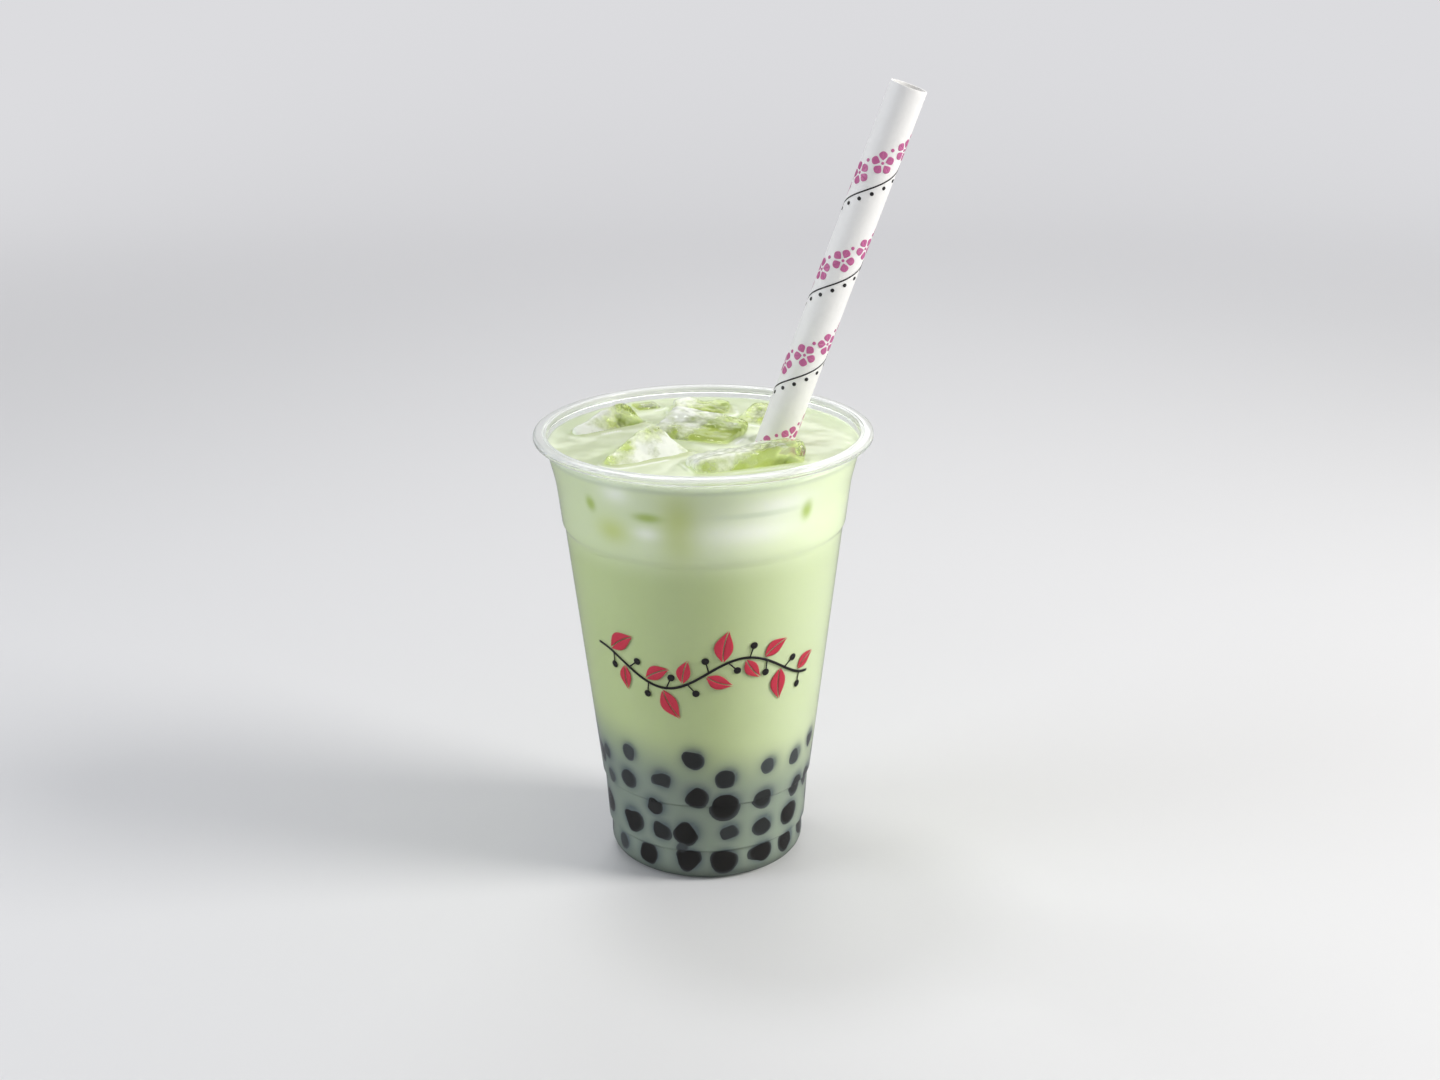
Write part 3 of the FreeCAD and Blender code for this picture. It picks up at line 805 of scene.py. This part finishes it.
# the skin's rows run from the axis over the floor, up the wall and over the surface back to the axis;
# the hidden floor keeps few of its rows
def makeDrink():
    turn = circle(drink["around"]) - math.pi / 2
    onFloor = skinLine[:, 0] < drink["floorRadius"]
    line = np.concatenate([skinLine[onFloor][1::drink["floorSkip"]], skinLine[~onFloor]])
    line = line[line[:, 1] < drink["level"] - drink["topGap"]]
    edge = float(skinRadius(drink["level"] + drink["wallClimb"]))
    sideRadius = np.repeat(line[:, :1], len(turn), 1)
    sideHeight = np.repeat(line[:, 1:], len(turn), 1)
    share = 1 - np.linspace(0, 1, drink["topRings"] + 1)[:-1, None]
    radius = edge * share
    topX, topY = radius * np.cos(turn), radius * np.sin(turn)
    lift, deep, under, shine = surfaceHeight(topX, topY, edge)
    allRadius = np.concatenate([sideRadius, radius * np.ones_like(turn)])
    allHeight = np.concatenate([sideHeight, drink["level"] + lift])
    grid = around(allRadius, turn, allHeight)
    rows = len(grid)
    poles = np.array([[0, 0, skinLine[0, 1]], [0, 0, drink["level"] + lift[-1].mean()]])
    points = np.concatenate([grid.reshape(-1, 3), poles])
    angle = np.degrees(turn + math.pi / 2) * np.ones((rows, 1))
    onWall = (np.arange(rows) < len(line))[:, None] * np.ones(len(turn))
    halo = np.zeros_like(allHeight)
    for middle, up, width in pearlSpots:
        across = np.radians((angle - middle - shade["haloTurn"] + 180) % 360 - 180) * allRadius
        away = np.hypot(across, allHeight - up - shade["haloUp"]) - width * shade["haloFrom"]
        halo = np.maximum(halo, np.exp(-np.maximum(away, 0) / pearl["halo"]))
    side = np.sin(np.radians(angle))
    band = shade["bandShare"] + shade["bandSwing"] * np.cos(np.radians(angle - shade["bandAt"]))
    # painted light, strongest on the right side
    paintedLightRight = np.clip(np.cos(np.radians(angle - shade["brightAt"])), 0, 1)
    low = smooth(allHeight + shade["lowTilt"] * side, *shade["low"])
    inwards = np.exp((allRadius - edge) / shade["collarReach"])
    flat = {
        "halo": halo * shade["haloShare"] * onWall * (allRadius > shade["haloFloor"]),
        # painted shade low down, partly the pearls seen through the milk, and painted shade at the foot
        "low": low * onWall * (shade["lowShare"] - shade["lowLess"] * side),
        "foot": shade["footShare"] * smooth(allHeight, *shade["foot"]) * onWall,
        # painted light: the top surface paler, as lit from above
        "top": 1 - onWall,
        "band": smooth(allHeight, *shade["band"]) * onWall * band,
        "paintedLightRight": onWall * shade["brightShare"] * paintedLightRight,
        # painted grey shade at the collar under the bead
        "collarShade": shade["collarShare"] * np.where(onWall > 0, smooth(allHeight, *shade["collarShade"]), inwards),
    }
    # under: ice seen through thin milk; deep: painted shade in the pits under the ice; shine: painted
    # highlight on the wet lines
    for label, value in (("under", under), ("deep", smooth(deep, *shade["deep"])), ("shine", shine)):
        flat[label] = np.concatenate([0 * sideHeight, value])
    for label, (power, share, places) in wallLook.items():
        flat[label] = spots(angle, allHeight, allRadius, places, power) * onWall * share
    values = {label: np.concatenate([value.ravel(), [0, value[-1].mean()]]) for label, value in flat.items()}
    faces = poledFaces(rows, len(turn))
    putPiece("matchaDrink", points, faces, matchaMilk(), "drink", values)


makeDrink()


# Wound white paper: matt and faintly fibrous, with a fine nap.
def strawPaper():
    material = newMaterial("paperWoundWhite")
    fibre = noise(material, straw["fibre"], 3.0)
    colour = mixColours(material, fibre, straw["shaded"], straw["white"])
    nap = addNode(material, "Bump", {
        "Height": fibre, "Strength": 0.25, "Distance": straw["nap"] * mm})
    shader = addNode(material, "BsdfPrincipled", {
        "Base Color": colour, "Roughness": 0.5, "IOR": 1.45, "Normal": nap.outputs["Normal"]})
    return finishMaterial(material, shader)


# from the straw's frame (x, y, along) to the cup's: turned about Y by the lean, moved to its foot
def leanStraw(local):
    lean = math.radians(straw["lean"])
    x, y, along = local[..., 0], local[..., 1], local[..., 2]
    c, s = math.cos(lean), math.sin(lean)
    return np.stack([x * c + along * s, y, along * c - x * s], -1) + np.array(straw["foot"])


# a closed tube: up the outside, over the rounded mouth, down the bore; the seam is a low spiral step
def makeStraw():
    turn = circle(straw["around"])
    outer, length = straw["radius"], straw["length"]
    inner = outer - straw["wall"]
    middle = (outer, length / 2)
    corners = [middle, (outer, length), (inner, length), (inner, 0), (outer, 0), middle]
    ring = roundedLine(corners, [straw["edge"]] * 4, straw["longest"], 4)[:-1]
    radius, along = ring[:, :1] * np.ones_like(turn), ring[:, 1:] * np.ones_like(turn)
    phase = (turn / (2 * math.pi) - along / straw["seamPitch"]) % 1
    radius = radius - straw["seam"] * (radius > outer - 0.1) * np.exp(-phase / straw["seamFade"])
    points = leanStraw(around(radius, turn, along))
    faces = [gridFaces(len(ring), len(turn), closeRows=True)]
    putPiece("strawTube", points, faces, strawPaper(), "straw")


makeStraw()


printed = {
    "inkLift": 0.03, "inkThick": 0.04, "grain": 0.667, "grainShare": 0.1, "cupRadius": 35.4,
    # the stem: middle height, its waves' height, half its run, its points, its and the stalks' width
    "cupMiddle": 67.5, "cupWave": 4.6, "cupHalf": 33.5, "stemPoints": 90, "stemWide": 0.75, "stalkWide": 0.4,
    # the leaves: first and last point and number, length, width, lean off the stem, bend, gap to the stem,
    # and their uneven lengths (mean, swing, step, phase)
    "leafAt": (6, 82, 11), "leafLong": 10.2, "leafWide": 5.2, "leafLean": 0.95, "leafBend": 0.25,
    "leafGap": 0.7, "leafUneven": (0.86, 0.14, 2.1, 1.8),
    # the berries on the other side: distance, lean and radius
    "berryFar": 3.7, "berryLean": 1.25, "berryRadius": 1.05,
    # the straw's winding, and its blossoms: step, turn of each, petals and heart
    "strawPitch": 27.5, "strawFrom": 97.0, "strawTo": 223.5, "blossomStep": 7.2, "blossomTurn": 0.9,
    "petals": 5, "petalLong": 2.5, "petalWide": 2.3, "petalGap": 0.75, "heart": 0.42,
    # the dots between blossoms (how far across, radius), the thin line, and the beads under it
    "between": (2.2, 0.5), "lineAt": -5.2, "lineWide": 0.4, "beadsAt": -6.7, "beadRadius": 0.55,
}


# Printed ink: flat, even colour with a fine grain and a low sheen.
def printInk(name, colour):
    material = newMaterial(name)
    grain = noise(material, printed["grain"], 2.0)
    tone = mapSpan(material, grain, 0.0, 1.0, 1 - printed["grainShare"], 1 + printed["grainShare"])
    mixed = mixColours(material, 1.0, colour, tone, "MULTIPLY")
    shader = addNode(material, "BsdfPrincipled", {"Base Color": mixed, "Roughness": 0.4})
    return finishMaterial(material, shader)


# half leaves in the plane: u runs down the midrib, v from a bare vein to the edge, at half the width
# wide * sin(pi u^skew)^slim; each bends by a share of its length
def leafHalves(roots, ways, longs, wides, bends, vein=0.16, skew=0.85, slim=1.25, rows=15, columns=5):
    u = np.linspace(0.03, 0.97, rows)[:, None]
    v = np.linspace(0, 1, columns)
    sides = []
    for side in (-1, 1):
        half = np.sin(np.pi * u ** skew) ** slim
        x = u * longs[:, None, None] * np.ones_like(v)
        y = bends[:, None, None] * longs[:, None, None] * u * (1 - u)
        y = y + side * (vein + v * np.maximum(half * wides[:, None, None] / 2 - vein, 0.03))
        c, s = np.cos(ways)[:, None, None], np.sin(ways)[:, None, None]
        turned = roots[:, None, None] + np.stack([x * c - y * s, x * s + y * c], -1)
        sides.append(turned if side > 0 else turned[:, :, ::-1])
    return np.concatenate(sides)


# ribbons along lines in the plane, half a width to each side of their normals
def ribbons(lines, width):
    along = np.gradient(lines, axis=1)
    along /= np.linalg.norm(along, axis=-1, keepdims=True)
    side = np.stack([-along[..., 1], along[..., 0]], -1)
    v = np.linspace(1, -1, 3)[:, None] * width / 2
    return lines[:, :, None] - side[:, :, None] * v


# filled rounds in the plane: rings from a tiny one at the middle out to the radius
def dots(middles, radius, corners=20, rings=4):
    turn = np.linspace(0, 2 * math.pi, corners)
    share = np.linspace(1, 0.02, rings)
    ring = np.stack([np.cos(turn), np.sin(turn)], -1)[:, None] * share[:, None]
    return middles[:, None, None] + ring * radius


# patches of a flat pattern on a surface, in one mesh that Solidify gives the ink's thickness
def printPatches(name, patches, wrap, material):
    points, faces, first = [], [], 0
    for sheet in patches:
        count, rows, columns = sheet.shape[:3]
        for k in range(count):
            faces.append(gridFaces(rows, columns, closeColumns=False, first=first + k * rows * columns))
        points.append(wrap(sheet).reshape(-1, 3))
        first += count * rows * columns
    piece = putPiece(name, np.concatenate(points), faces, material, None)
    thick = piece.modifiers.new("ink", "SOLIDIFY")
    thick.thickness = printed["inkThick"] * mm
    thick.offset = -1
    return piece


# on the cup: s goes round the outside at the wall's radius, h is the height
def wrapCup(flat):
    radius = outsideRadius(flat[..., 1]) + printed["inkLift"]
    angle = flat[..., 0] / printed["cupRadius"]
    return np.stack([radius * np.sin(angle), -radius * np.cos(angle), flat[..., 1]], -1)


# on the straw: s goes round it from its front, h is the length from its foot
def wrapStraw(flat):
    radius = straw["radius"] + printed["inkLift"]
    angle = flat[..., 0] / straw["radius"] - math.pi / 2
    return leanStraw(around(radius, angle, flat[..., 1]))


# steps of one length in the plane, one for each way
def stepsOff(ways):
    return np.stack([np.cos(ways), np.sin(ways)], -1)


# a leafy sprig on a waving stem across the cup's front, three quarters of a wave to each side
def makeCupPrint(leafInk, stemInk):
    half = printed["cupHalf"]
    run = np.linspace(-half, half, printed["stemPoints"])
    stem = np.stack([run, printed["cupMiddle"] + printed["cupWave"] * np.sin(run / half * math.pi * 1.5)], -1)
    at = np.linspace(*printed["leafAt"]).astype(int)
    slope = np.arctan2(*(stem[at + 1] - stem[at - 1]).T[::-1])
    upward = np.where(np.arange(len(at)) % 2 == 0, 1, -1)
    ways = slope + upward * printed["leafLean"]
    mean, swing, step, phase = printed["leafUneven"]
    longs = printed["leafLong"] * (mean + swing * np.sin(np.arange(len(at)) * step + phase))
    wides = longs * printed["leafWide"] / printed["leafLong"]
    roots = stem[at] + printed["leafGap"] * stepsOff(ways)
    leaves = leafHalves(roots, ways, longs, wides, upward * printed["leafBend"])
    printPatches("cupPrintLeaves", [leaves], wrapCup, leafInk)
    stalkAt = stem[at + 2]
    berryAt = stalkAt + stepsOff(slope - upward * printed["berryLean"]) * printed["berryFar"]
    berries = dots(berryAt, printed["berryRadius"])
    stalks = np.stack([stalkAt + (berryAt - stalkAt) * t for t in np.linspace(0, 1, 6)], 1)
    patches = [ribbons(stem[None], printed["stemWide"]), ribbons(stalks, printed["stalkWide"]), berries]
    printPatches("cupPrintStems", patches, wrapCup, stemInk)


# five-petalled blossoms and a dotted line wound round the straw: one turn for each pitch of its length
def makeStrawPrint(petalInk, stemInk):
    climb = math.atan2(printed["strawPitch"], 2 * math.pi * straw["radius"])
    start = np.array([0, printed["strawFrom"]])
    across = np.array([-math.sin(climb), math.cos(climb)])
    total = (printed["strawTo"] - printed["strawFrom"]) / math.sin(climb)
    count = int(total / printed["blossomStep"])

    # points along the winding at these lengths
    def wound(at):
        return start + at[:, None] * [math.cos(climb), math.sin(climb)]

    roots = wound((np.arange(count) + 0.5) * total / count)
    each = printed["petals"]
    turned = np.arange(count)[:, None] * printed["blossomTurn"]
    ways = (turned + np.arange(each) * 2 * math.pi / each).ravel()
    hearts = np.repeat(roots, each, 0) + printed["petalGap"] * stepsOff(ways)
    longs, wides = np.full(len(ways), printed["petalLong"]), np.full(len(ways), printed["petalWide"])
    petals = leafHalves(hearts, ways, longs, wides, 0 * ways, 0.0, 1.3, 0.75)
    buds = dots(roots, printed["heart"], 12)
    far, size = printed["between"]
    between = dots((roots[1:] + roots[:-1]) / 2 + across * far, size, 12)
    printPatches("strawPrintBlossoms", [petals, buds, between], wrapStraw, petalInk)
    line = wound(np.linspace(0, total, 900)) + across * printed["lineAt"]
    beads = wound((np.arange(2 * count) + 0.5) * total / (2 * count)) + across * printed["beadsAt"]
    beads = dots(beads, printed["beadRadius"], 12)
    rule = ribbons(line[None], printed["lineWide"])
    printPatches("strawPrintLine", [rule, beads], wrapStraw, stemInk)


raspberryInk = printInk("inkScreenRaspberry", "#ce2f48")
pinkInk = printInk("inkFlexoPaleRaspberry", "#cc6a9f")
blackInk = printInk("inkScreenBlack", "#1d1a1b")
makeCupPrint(raspberryInk, blackInk)
makeStrawPrint(pinkInk, blackInk)
print("prints done")
